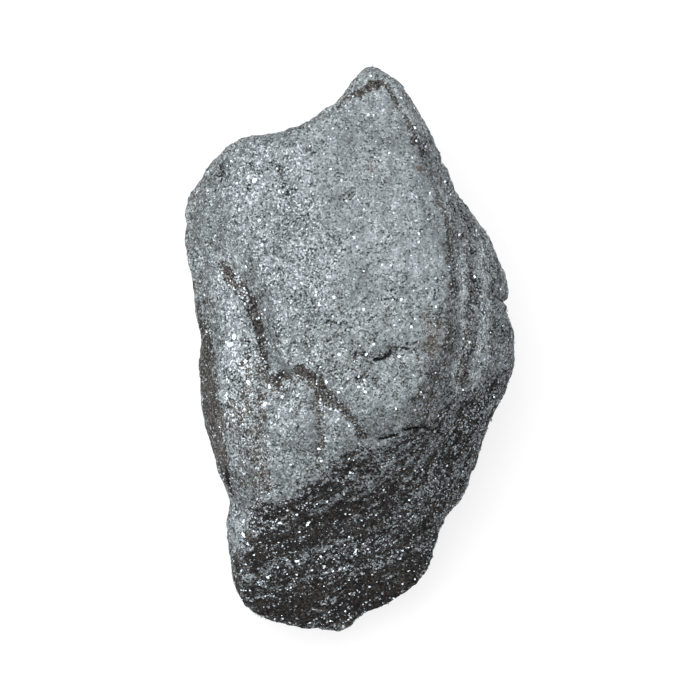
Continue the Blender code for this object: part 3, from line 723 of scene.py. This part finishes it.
# Lighter than elsewhere by the share that is their strength: bare fresh rock and a pale vein, and painted
# light on the left band, the nub and the right flank's streaks
FRESH_AND_LIT = (
    # Painted light: the left band, which faces the key light
    Stain(((-16.6, 12.4), (-15.4, 7.0), (-15.0, 2.0), (-15.2, -5.0), (-16.2, -14.0)), 5.0, 0.30, 0.8, 0.5),
    # Painted light: the nub, which faces the key light
    Stain(((-16.0, -25.0), (-16.6, -29.4)), 3.0, 0.08, 0.7, 0.7),
    Stain(((-5.8, -41.2), (-3.6, -41.5)), 0.5, 2.5, 0.2, 0.2, side=Side.WHOLE),
    Stain(((-1.0, -43.2), (0.4, -43.0)), 1.6, 1.2, 0.3, 0.3, side=Side.WHOLE),
    Stain(((-5.6, -8.8), (-6.0, -14.0), (-7.0, -19.0)), 6.6, 0.16, 1.2, 0.8),
    # Painted light: lighter streaks on the right flank, which the key light leaves in shade
    Stain(((18.4, 16.0), (18.6, 3.0), (17.6, -6.0)), 1.3, 0.8, 0.5, 0.5),
    Stain(((22.1, 16.0), (22.2, 4.0), (20.8, -6.0)), 2.0, 0.7, 0.5, 0.5),
)


@dataclass
class Surface:
    """The points of the stone's surface and the directions in which it faces there.

    What lies on it has edges that sway, both finely and in flat lenses like the rock's layers.
    """

    points: np.ndarray
    facing: np.ndarray
    sway_size: float = 1.8
    layer_size: float = 5.0
    layer_flatness: float = 3.5
    height_sway: float = 4.0
    height_soft: float = 2.0
    frayed_sway: float = 1.2
    # Shares of the frayed length that lie beyond and beside a path
    frayed_beyond: float = 0.4
    frayed_beside: float = 0.6

    @classmethod
    def read(cls, mesh: bpy.types.Mesh) -> "Surface":
        """Reads a mesh's surface.

        Args:
            mesh: The mesh to read.

        Returns:
            Its points, in millimetres, and its directions.
        """
        flat = np.empty(len(mesh.vertices) * 3, dtype=np.float32)
        mesh.vertices.foreach_get("co", flat)
        points = flat.reshape(-1, 3).astype(float) / MM
        mesh.vertex_normals.foreach_get("vector", flat)
        return cls(points, flat.reshape(-1, 3).astype(float))

    @cached_property
    def sway(self) -> np.ndarray:
        """Gives the fine sway of edges, from about -1 to 1."""
        return rough(self.points, self.sway_size, Field.SWAY)

    @cached_property
    def layered(self) -> np.ndarray:
        """Gives a sway that lies in flat lenses, from about -1 to 1."""
        return rough(self.points * np.array((1.0, 1.0, self.layer_flatness)), self.layer_size, Field.BANDS)

    def stained(self, stains: tuple[Stain, ...], measure: str = "strength") -> np.ndarray:
        """Lays stains on the surface.

        Args:
            stains: The stains to lay.
            measure: Which number of a stain to lay.

        Returns:
            A share for each point, 0 where there is no stain.
        """
        height = self.points[:, 2] + self.height_sway * self.layered
        strongest = np.zeros(len(self.points))
        for stain in stains:
            away = along_path(self.points, stain.path) + stain.ragged * self.sway
            share = smooth_step(stain.soft, -stain.soft, away)
            share *= smooth_step(-stain.reach - stain.soft, -stain.reach + stain.soft, away)
            share *= smooth_step(*stain.side.value, self.facing[:, 2])
            for end, soft in ((stain.lowest, self.height_soft), (stain.highest, -self.height_soft)):
                share *= smooth_step(end - soft, end + soft, height)
            if stain.frayed:
                past = beyond_ends(self.points, stain.path) + self.frayed_sway * stain.frayed * self.layered
                share *= smooth_step(self.frayed_beyond * stain.frayed, -self.frayed_beside * stain.frayed,
                                     past)
            strongest = np.maximum(strongest, getattr(stain, measure) * share)
        return strongest


@dataclass
class StoneBody:
    """The whole stone: the solid's form with its fine relief."""

    node: str = "hematite_stone"
    join: float = 0.001
    soften_rounds: int = 2
    net: float = 0.392
    even_rounds: int = 3
    ledge_spacing: tuple[float, ...] = (2.3, 1.1)
    ledge_step: tuple[float, ...] = (0.26, 0.12)
    # Shares of the spacing at which a ledge is full and starts to drop
    ledge_full: float = 0.75
    ledge_drop: float = 0.8
    # Ledges wander up and down by this share of their spacing, and break off in patches
    ledge_wander: float = 1.1
    wander_size: float = 9.0
    break_size: float = 5.0
    break_between: tuple[float, float] = (-0.3, 0.3)
    lens_length: float = 5.0
    lens_thickness: float = 1.1
    lens_height: float = 0.28
    grain_size: float = 1.7
    grain_height: float = 0.12
    sand_size: float = 0.85
    sand_height: float = 0.11
    pock_size: float = 1.7
    pock_depth: float = 0.14
    pock_between: tuple[float, float] = (0.42, 0.7)
    # How softly a furrow ends at its lowest height, and how far that end sways
    furrow_soft: float = 2.0
    broad_rounds: int = 14
    # Dust on faces that cross the layers: its share, and the upward shares between which it comes in
    steep_dust: float = 0.46
    steep_between: tuple[float, float] = (0.72, 0.3)
    band_length: float = 16.0
    band_stretch: float = 5.0
    band_swing: float = 0.3
    glints_clean: float = 0.18
    # A hollow of this depth is full of dust, within the limits that follow
    hollow_depth: float = 0.08
    hollow_dust: tuple[float, float] = (-0.12, 0.16)
    middle_rounds: int = 3
    hollow_rounds: int = 2
    # Painted light and shade on the ledges: the side that looks this way, towards the key light, has less
    # dust and is lighter, and the other side has more and is darker
    lit_ledge_way: tuple[float, float, float] = (-0.2, 0.7, 0.65)
    lit_ledge_most: float = 0.2
    lump_size: float = 6.0
    lump_swing: float = 0.10
    # Away from cracks the distance in half widths is far; near them it is measured within their reach
    crack_far: float = 20.0
    crack_reach: float = 0.75
    crack_taper: float = 0.5
    # Upward shares of the surface's direction between which cracks come in
    crack_side: tuple[float, float] = (0.0, 0.2)

    def build(self, finish: SpecularHematite) -> bpy.types.Object:
        """Builds the stone and puts it in the place of its solid.

        Args:
            finish: What the stone is made of.

        Returns:
            The stone's object.
        """
        stone = self.copy_solid()
        self.even_net(stone)
        broad = self.broad_facing(stone.data)
        self.raise_relief(stone)
        surface = Surface.read(stone.data)
        # The dust attribute also holds the ledges' painted light and shade
        self.paint(stone.data, "dust", self.dust(stone.data, surface, broad))
        for name, stains in (("rust", RUST), ("pored", PORED), ("fresh", FRESH_AND_LIT)):
            self.paint(stone.data, name, surface.stained(stains))
        self.paint(stone.data, "thick", surface.stained(tuple(STAINS.values()), "thick"))
        for name, values in zip(("crack_side", "crack"), self.cracked(surface)):
            self.paint(stone.data, name, values)
        bpy.ops.object.shade_smooth()
        stone.data.materials.clear()
        stone.data.materials.append(finish.material())
        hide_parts(self.node)
        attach(stone, "root")
        return stone

    def copy_solid(self) -> bpy.types.Object:
        """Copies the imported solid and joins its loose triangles.

        Returns:
            The copy, which is selected and active.
        """
        bpy.ops.object.select_all(action="DESELECT")
        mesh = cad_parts[self.node].data.copy()
        mesh.name = "stone_surface"
        stone = bpy.data.objects.new("stone_surface", mesh)
        bpy.context.scene.collection.objects.link(stone)
        bpy.context.view_layer.objects.active = stone
        stone.select_set(True)
        bpy.ops.object.mode_set(mode="EDIT")
        bpy.ops.mesh.select_all(action="SELECT")
        bpy.ops.mesh.remove_doubles(threshold=self.join * MM)
        bpy.ops.object.mode_set(mode="OBJECT")
        return stone

    def even_net(self, stone: bpy.types.Object) -> None:
        """Softens the solid's facets and gives the stone an even fine net of faces.

        Args:
            stone: The stone's object, selected and active.
        """
        soften = stone.modifiers.new("soften", "SMOOTH")
        soften.iterations = self.soften_rounds
        net = stone.modifiers.new("net", "REMESH")
        net.mode = "VOXEL"
        net.voxel_size = self.net * MM
        even = stone.modifiers.new("even", "SMOOTH")
        even.iterations = self.even_rounds
        for name in ("soften", "net", "even"):
            bpy.ops.object.modifier_apply(modifier=name)

    def raise_relief(self, stone: bpy.types.Object) -> None:
        """Moves the surface in and out along its own direction.

        Args:
            stone: The stone's object.
        """
        surface = Surface.read(stone.data)
        lift = self.layers(surface) + self.grain(surface.points) + self.lines(surface)
        moved = surface.points + surface.facing * lift[:, None]
        moved[:, 2] = np.maximum(moved[:, 2], 0.0)
        stone.data.vertices.foreach_set("co", (moved * MM).astype(np.float32).ravel())
        stone.data.update()

    def layers(self, surface: Surface) -> np.ndarray:
        """Raises fine ledges and lenses where the surface crosses the rock's layers.

        Args:
            surface: The stone's surface.

        Returns:
            How far each point is raised.
        """
        points = surface.points
        height = layer_height(points)
        wander = rough(points, self.wander_size, Field.WANDER)
        whole = smooth_step(*self.break_between, rough(points, self.break_size, Field.BREAKS))
        lift = np.zeros(len(points))
        for spacing, step in zip(self.ledge_spacing, self.ledge_step):
            level = height / spacing + self.ledge_wander * wander
            phase = level - np.floor(level)
            ledge = smooth_step(0.0, self.ledge_full, phase) - smooth_step(self.ledge_drop, 1.0, phase) - 0.5
            lift += step * ledge * whole
        flattened = np.column_stack((points[:, :2], height * self.lens_length / self.lens_thickness))
        lift += self.lens_height * rough(flattened, self.lens_length, Field.LENSES)
        return lift * np.sqrt(np.clip(1.0 - surface.facing[:, 2] ** 2, 0.0, 1.0))

    def grain(self, points: np.ndarray) -> np.ndarray:
        """Raises grains and sinks small pocks all over.

        Args:
            points: The surface's points.

        Returns:
            How far each point is raised.
        """
        lift = self.grain_height * rough(points, self.grain_size, Field.GRAIN)
        lift += self.sand_height * rough(points, self.sand_size, Field.SAND, 2)
        pock = smooth_step(*self.pock_between, rough(points, self.pock_size, Field.POCKS))
        return lift - self.pock_depth * pock

    def lines(self, surface: Surface) -> np.ndarray:
        """Sinks the furrows.

        Args:
            surface: The stone's surface.

        Returns:
            How far each point is raised, which is never above 0.
        """
        sunk = np.zeros(len(surface.points))
        upper = smooth_step(*Side.UPPER.value, surface.facing[:, 2])
        soft = self.furrow_soft
        height = surface.points[:, 2] + soft * surface.sway
        for furrow in FURROWS:
            away = np.abs(along_path(surface.points, furrow.path) + furrow.ragged * surface.sway)
            low = furrow.lowest
            reached = upper if low is None else smooth_step(low - soft, low + soft, height)
            sunk -= furrow.depth * np.exp(-(away / furrow.width) ** 2) * reached
        return sunk

    @staticmethod
    def evened(mesh: bpy.types.Mesh, values: np.ndarray, rounds: int) -> np.ndarray:
        """Evens out a value over each point's neighbours.

        Args:
            mesh: The mesh whose points have the values.
            values: One value for each point.
            rounds: How often each value moves halfway to the mean of its neighbours.

        Returns:
            The evened values.
        """
        edges = np.empty(len(mesh.edges) * 2, dtype=np.int64)
        mesh.edges.foreach_get("vertices", edges)
        near, far = edges.reshape(-1, 2).T
        count = np.bincount(edges, minlength=len(values))
        for _ in range(rounds):
            total = (np.bincount(near, values[far], len(values))
                     + np.bincount(far, values[near], len(values)))
            values = 0.5 * values + 0.5 * total / count
        return values

    def broad_facing(self, mesh: bpy.types.Mesh) -> np.ndarray:
        """Finds the way in which the stone's large faces look.

        Args:
            mesh: The stone's mesh, without its relief.

        Returns:
            A direction for each point.
        """
        facing = Surface.read(mesh).facing
        broad = np.column_stack([self.evened(mesh, axis, self.broad_rounds) for axis in facing.T])
        return broad / np.linalg.norm(broad, axis=1)[:, None]

    def cracked(self, surface: Surface) -> tuple[np.ndarray, np.ndarray]:
        """Measures how far each point lies from its nearest crack.

        Args:
            surface: The stone's surface.

        Returns:
            The distances in half widths, below 0 on a crack's right-hand side, and the cracks' strength.
        """
        points = surface.points
        side = np.full(len(points), self.crack_far)
        share = np.zeros(len(points))
        for crack in CRACKS:
            away = along_path(points, crack.path)
            near = np.abs(away) < self.crack_reach
            whole = smooth_step(self.crack_taper, 0.0, beyond_ends(points, crack.path))
            side[near] = away[near] / crack.half_width
            share[near] = (crack.strength * whole)[near]
        return side, share * smooth_step(*self.crack_side, surface.facing[:, 2])

    def dust(self, mesh: bpy.types.Mesh, surface: Surface, broad: np.ndarray) -> np.ndarray:
        """Finds where dust lies: on stains, in hollows and on the faces that cross the layers, and paints
        light and shade on the ledges by less and more dust.

        Args:
            mesh: The stone's mesh, with its relief.
            surface: The mesh's surface.
            broad: The direction in which the large faces look.

        Returns:
            The share of dust at each point, with the ledges' painted light and shade in it.
        """
        points, facing = surface.points, surface.facing
        steep = self.steep_dust * smooth_step(*self.steep_between, broad[:, 2])
        dust = np.maximum(steep, surface.stained(tuple(STAINS.values())))
        flattened = np.column_stack((points[:, :2], layer_height(points) * self.band_stretch))
        dust *= 1.0 + self.band_swing * rough(flattened, self.band_length, Field.BANDS)
        dust *= 1.0 - surface.stained(CLEAN)
        dust -= self.glints_clean * surface.stained(GLINTS)
        middle = sum(self.evened(mesh, axis, self.middle_rounds) * way
                     for axis, way in zip(points.T, facing.T))
        hollow = self.evened(mesh, middle - (points * facing).sum(axis=1), self.hollow_rounds)
        dust += np.clip(hollow / self.hollow_depth, *self.hollow_dust)
        # Painted light and shade: ledges facing the key light lose dust and those facing away gain it
        dust -= np.clip((facing - broad) @ np.array(self.lit_ledge_way), -self.lit_ledge_most, self.lit_ledge_most)
        return dust + self.lump_swing * rough(points, self.lump_size, Field.DUST)

    @staticmethod
    def paint(mesh: bpy.types.Mesh, name: str, values: np.ndarray) -> None:
        """Keeps a value for each point in a named attribute, for the material to read."""
        painted = mesh.attributes.new(name, "FLOAT", "POINT")
        painted.data.foreach_set("value", values.astype(np.float32))

    @staticmethod
    def painted(mesh: bpy.types.Mesh, name: str) -> np.ndarray:
        """Reads the value that is painted on each point.

        Args:
            mesh: The stone's mesh.
            name: What was painted.

        Returns:
            The values.
        """
        values = np.empty(len(mesh.vertices), dtype=np.float32)
        mesh.attributes[name].data.foreach_get("value", values)
        return values


@dataclass
class GlintingPlates:
    """Bare single plates, each a thin six-sided tablet set in the surface and turned its own way.

    They lie singly on the upper side and in streaks along the layers where the rock broke across them.
    """

    count: int = 8600
    half_width: tuple[float, float] = (0.06, 0.19)
    longest: float = 1.8
    thickness: float = 0.06
    lean: float = 0.4
    lift: float = 0.02
    scatter: float = 0.14
    streak_length: float = 5.0
    streak_width: float = 0.9
    # Halfway between straight up and the key light, so that the large plates shine seen from above
    shining_way: tuple[float, float, float] = (-0.09, 0.25, 0.96)
    # The dustier the rock, the more of its bare plates are turned that way
    dusty_turn: float = 1.6
    # Large plates look the shining way, drawn towards the surface's own and leaning a little, and sit
    # only where the surface faces up by more than the last of these
    large_facing: float = 0.5
    large_lean: float = 0.12
    large_up: float = 0.1
    corners: int = 6
    # Chances of a plate: everywhere, more among pores and where the rock is broken, most in streaks
    everywhere: float = 0.10
    pored_more: float = 0.15
    broken_more: float = 0.06
    broken_between: tuple[float, float] = (0.97, 0.85)
    streak_more: float = 1.1
    streak_between: tuple[float, float] = (0.15, 0.6)
    glint_more: float = 9.0
    clump_size: float = 0.9
    clump_between: tuple[float, float] = (0.0, 0.5)
    strip_fewer: float = 0.8
    seed: int = 7

    def build(self, stone: bpy.types.Object, finish: CleavedPlate) -> bpy.types.Object:
        """Sets the plates in the stone.

        Args:
            stone: The stone with its dust painted on.
            finish: What the plates are made of.

        Returns:
            The object with all the plates.
        """
        draw = np.random.default_rng(self.seed)
        surface = Surface.read(stone.data)
        small = self.scattered(stone.data, surface, draw)
        large = self.placed(surface, draw)
        seats, normals, widths = (np.concatenate(parts) for parts in zip(small, large))
        mesh = self.tablets(seats, normals, widths, draw)
        mesh.materials.append(finish.material())
        made = bpy.data.objects.new("glinting_plates", mesh)
        bpy.context.scene.collection.objects.link(made)
        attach(made, "root")
        return made

    def scattered(self, mesh: bpy.types.Mesh, surface: Surface,
                  draw: np.random.Generator) -> tuple[np.ndarray, np.ndarray, np.ndarray]:
        """Scatters the small plates.

        Args:
            mesh: The stone's mesh, which has its dust painted on.
            surface: The mesh's surface.
            draw: The random numbers.

        Returns:
            Each plate's middle, the way it looks and half its width.
        """
        chosen = self.choose(mesh, surface, draw)
        points, facing = surface.points[chosen], surface.facing[chosen]
        scatter = draw.normal(size=points.shape) * self.scatter
        scatter -= (scatter * facing).sum(axis=1)[:, None] * facing
        dust = np.clip(StoneBody.painted(mesh, "dust")[chosen], 0.0, 1.0)
        turned = self.dusty_turn * draw.random(len(chosen)) * dust
        normals = facing + turned[:, None] * np.array(self.shining_way)
        normals += self.lean * draw.normal(size=normals.shape)
        least, most = self.half_width
        widths = least + (most - least) * draw.random(len(chosen)) ** 2
        return points + scatter + facing * self.lift, normals, widths

    def choose(self, mesh: bpy.types.Mesh, surface: Surface, draw: np.random.Generator) -> np.ndarray:
        """Draws the points at which a plate sits, most of them along the layers' bright streaks.

        Args:
            mesh: The stone's mesh, which has its dust painted on.
            surface: The mesh's surface.
            draw: The random numbers.

        Returns:
            The numbers of the chosen points.
        """
        points = surface.points
        dust, pored = (StoneBody.painted(mesh, name) for name in ("dust", "pored"))
        flattened = np.column_stack(
            (points[:, :2], layer_height(points) * self.streak_length / self.streak_width))
        streak = rough(flattened, self.streak_length, Field.STREAKS)
        broken = np.clip(dust, 0.0, 1.0) * smooth_step(*self.broken_between, surface.facing[:, 2])
        share = (self.everywhere + self.pored_more * pored
                 + broken * (self.broken_more + self.streak_more * smooth_step(*self.streak_between, streak)))
        clump = smooth_step(*self.clump_between, rough(points, self.clump_size, Field.STREAKS, 2))
        share += self.glint_more * surface.stained(GLINTS) * clump
        share *= 1.0 - self.strip_fewer * surface.stained((STAINS["left_strip"],))
        return draw.choice(len(points), self.count, replace=False, p=share / share.sum())

    def placed(self, surface: Surface,
               draw: np.random.Generator) -> tuple[np.ndarray, np.ndarray, np.ndarray]:
        """Puts each large plate at the point of the upper side that is nearest to its place.

        Args:
            surface: The stone's surface.
            draw: The random numbers.

        Returns:
            Each plate's middle, the way it looks and half its width.
        """
        upper = np.nonzero(surface.facing[:, 2] > self.large_up)[0]
        points = surface.points[upper]
        nearest = [upper[np.hypot(points[:, 0] - right, points[:, 1] - above).argmin()]
                   for right, above, _ in LARGE_PLATES]
        facing = surface.facing[nearest]
        normals = np.array(self.shining_way) + self.large_facing * facing
        normals += self.large_lean * draw.normal(size=normals.shape)
        widths = np.array([half for _, _, half in LARGE_PLATES])
        return surface.points[nearest] + facing * self.lift, normals, widths

    def tablets(self, seats: np.ndarray, normals: np.ndarray, widths: np.ndarray,
                draw: np.random.Generator) -> bpy.types.Mesh:
        """Makes all the plates as one mesh of thin closed tablets.

        Args:
            seats: The plates' middles.
            normals: The ways that they look, of any length.
            widths: Half their widths.
            draw: The random numbers.

        Returns:
            The mesh.
        """
        normals = normals / np.linalg.norm(normals, axis=1)[:, None]
        along = np.cross(normals, draw.normal(size=normals.shape))
        along /= np.linalg.norm(along, axis=1)[:, None]
        across = np.cross(normals, along)
        lengths = widths * draw.uniform(1.0, self.longest, len(seats))
        count = self.corners
        turns = np.arange(count) * math.tau / count
        ring = (along[:, None] * (np.cos(turns)[:, None] * lengths[:, None, None])
                + across[:, None] * (np.sin(turns)[:, None] * widths[:, None, None]))
        half = normals[:, None] * self.thickness / 2
        corners = np.concatenate((seats[:, None] + ring - half, seats[:, None] + ring + half), axis=1)
        faces = [tuple(reversed(range(count))), tuple(range(count, 2 * count))]
        for corner in range(count):
            after = (corner + 1) % count
            faces.append((corner, after, count + after, count + corner))
        mesh = bpy.data.meshes.new("glinting_plates")
        mesh.from_pydata((corners.reshape(-1, 3) * MM).tolist(), [],
                         [tuple(2 * count * plate + corner for corner in face)
                          for plate in range(len(seats)) for face in faces])
        return mesh


@dataclass
class Studio:
    """Floor, lights and camera: a light table under a soft window-like light from the upper left."""

    floor_size_m: float = 3.0
    floor_gap_m: float = 0.00005
    aim_m: tuple[float, float, float] = (0.0, 0.0, 0.015)
    lens_mm: float = 400.0
    sensor_mm: float = 36.0
    frame_mm: float = 111.6
    belly_mm: float = 16.0
    centre_up_mm: float = 0.1
    key_way: tuple[float, float, float] = (-0.18, 0.48, 0.86)
    key_distance_m: float = 0.75
    key_size_m: float = 0.75
    key_watts: float = 7.0
    top_place_m: tuple[float, float, float] = (-0.55, 0.0, 1.0)
    top_size_m: float = 1.3
    top_watts: float = 9.8
    world_strength: float = 0.29

    def build(self) -> None:
        """Lays the floor, hangs the lights and sets the camera."""
        self.lay_floor()
        self.hang_lights()
        self.set_camera()

    def lay_floor(self) -> None:
        """Lays the wide opal top of a light table under the stone."""
        bpy.ops.object.select_all(action="DESELECT")
        bpy.ops.mesh.primitive_plane_add(size=self.floor_size_m, location=(0.0, 0.0, -self.floor_gap_m))
        floor = bpy.context.active_object
        floor.name = "light_table"
        floor.data.materials.append(OpalAcrylic().material())

    def hang_lights(self) -> None:
        """Hangs the key light, the overhead light and a faint light from all sides."""
        aim = Vector(self.aim_m)
        way = Vector(self.key_way).normalized()
        self.lamp("key_light", aim + way * self.key_distance_m, aim, self.key_size_m, self.key_watts)
        self.lamp("top_light", Vector(self.top_place_m), aim, self.top_size_m, self.top_watts)
        world = bpy.data.worlds.new("studio")
        world.use_nodes = True
        world.node_tree.nodes["Background"].inputs["Strength"].default_value = self.world_strength
        world.node_tree.nodes["Background"].inputs["Color"].default_value = (1.0, 1.0, 1.0, 1.0)
        bpy.context.scene.world = world
        bpy.context.scene.view_settings.view_transform = "Standard"

    @staticmethod
    def lamp(name: str, place: Vector, target: Vector, size_m: float, watts: float) -> None:
        """Hangs one square soft light and turns it to a target.

        Args:
            name: The light's name.
            place: Where it hangs.
            target: The point that it looks at.
            size_m: The length of its sides.
            watts: Its power.
        """
        data = bpy.data.lights.new(name, "AREA")
        data.size = size_m
        data.energy = watts
        lamp = bpy.data.objects.new(name, data)
        lamp.location = place
        lamp.rotation_euler = (target - place).to_track_quat("-Z", "Y").to_euler()
        bpy.context.scene.collection.objects.link(lamp)

    def set_camera(self) -> None:
        """Sets the camera straight above the stone, with +Y up the picture."""
        data = bpy.data.cameras.new("camera")
        data.lens = self.lens_mm
        camera = bpy.data.objects.new("camera", data)
        distance = self.frame_mm * self.lens_mm / self.sensor_mm
        camera.location = (0.0, self.centre_up_mm * MM, (distance + self.belly_mm) * MM)
        bpy.context.scene.collection.objects.link(camera)
        bpy.context.scene.camera = camera


def main() -> None:
    """Builds the stone and its studio, and logs how many triangles each piece has."""
    logging.basicConfig(level=logging.INFO, format="%(name)s: %(message)s")
    stone = StoneBody().build(SpecularHematite())
    plates = GlintingPlates().build(stone, CleavedPlate())
    for piece in (stone, plates):
        triangles = sum(len(face.vertices) - 2 for face in piece.data.polygons)
        LOG.info("%s has %d triangles", piece.name, triangles)
    Studio().build()
    LOG.info("studio is set")


if __name__ == "__main__":
    main()
